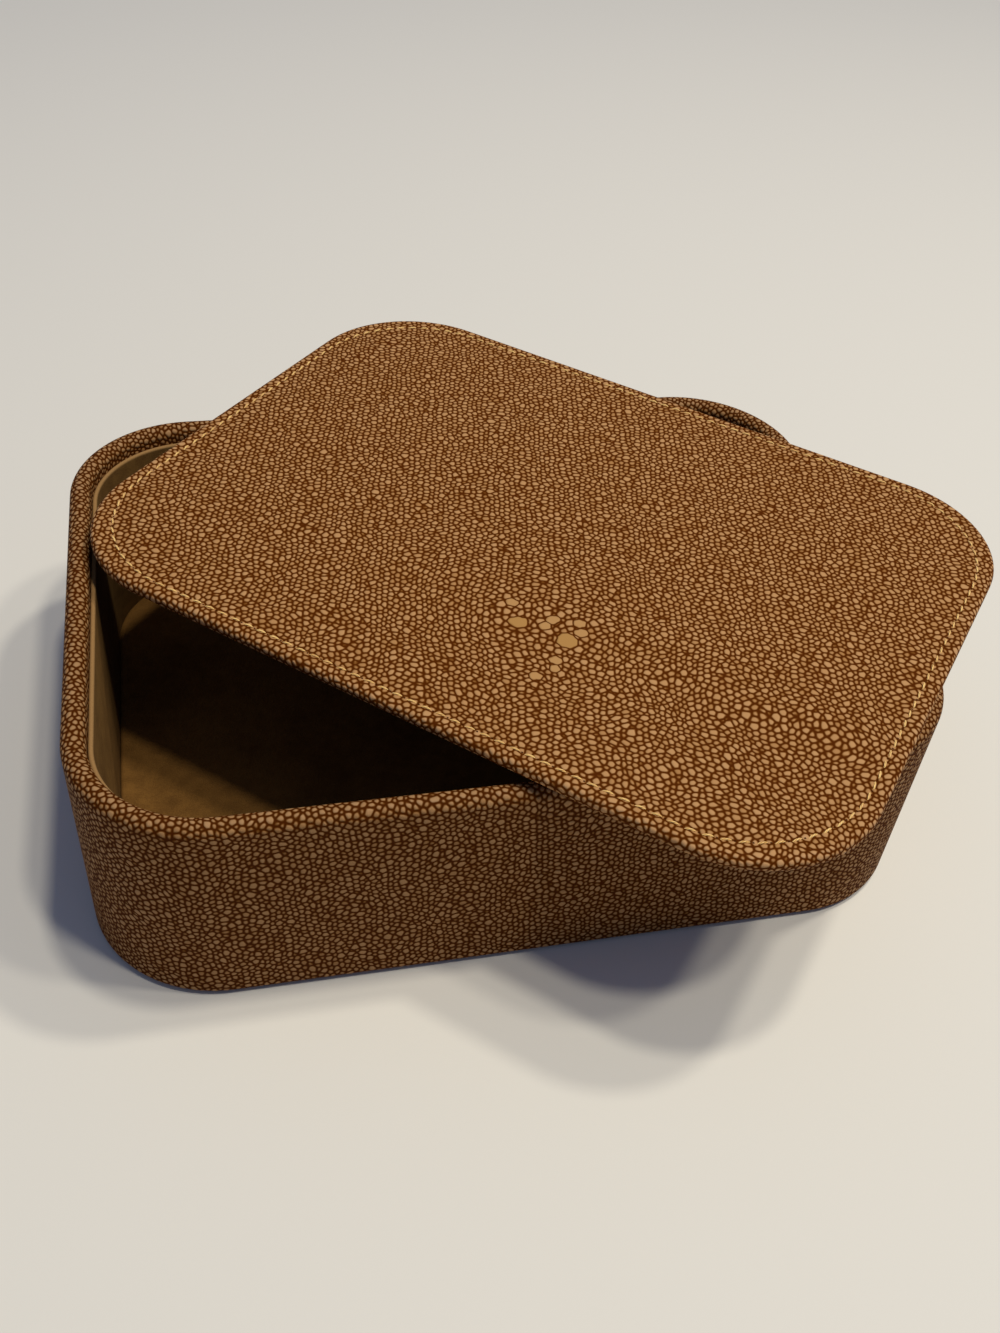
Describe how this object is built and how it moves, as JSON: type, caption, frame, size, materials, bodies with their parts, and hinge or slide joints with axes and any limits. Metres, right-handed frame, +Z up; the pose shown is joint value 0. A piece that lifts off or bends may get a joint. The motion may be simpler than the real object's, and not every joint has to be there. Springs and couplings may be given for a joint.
{
  "type": "lidded keepsake box",
  "caption": "Low box with rounded corners and a loose flat lid, covered in pebble-grained faux leather and lined with suede, for papers and keepsakes.",
  "frame": {"origin": "middle of the underside of the felt, on the surface that the box stands on", "axes": "+X along the box's longer side, to the right; -Y is the front in the picture; +Z up"},
  "size_m": [0.3507, 0.3354, 0.095],
  "materials": {
    "board": "bare fibreboard",
    "card": "grey bookbinding card",
    "shagreen_skin": "faux leather, tan pebbles on a dark brown ground, satin",
    "suede": "tan suede nap",
    "felt": "dark brown felt",
    "thread": "pale gold sewing thread"
  },
  "bodies": {
    "box": {"front_wall_board": "board", "back_wall_board": "board", "left_wall_board": "board", "right_wall_board": "board", "corner_block_front_left": "board", "corner_block_front_right": "board", "corner_block_back_left": "board", "corner_block_back_right": "board", "bottom_board": "board", "wall_packing_card": "card", "wall_lining_card": "card", "floor_card": "card", "base_levelling_card": "card", "wall_covering": "shagreen_skin", "wall_lining_suede": "suede", "floor_suede": "suede", "base_felt": "felt"},
    "lid": {"lid_board": "board", "lid_covering": "shagreen_skin", "lid_levelling_card": "card", "locating_board": "board", "locating_board_suede": "suede", "lid_stitching": "thread"}
  },
  "joints": [
    {"name": "lid_lift", "type": "slide", "parent": "box", "child": "lid", "axis": [0, 0, 1], "range_m": [0, 0.15]}
  ]
}
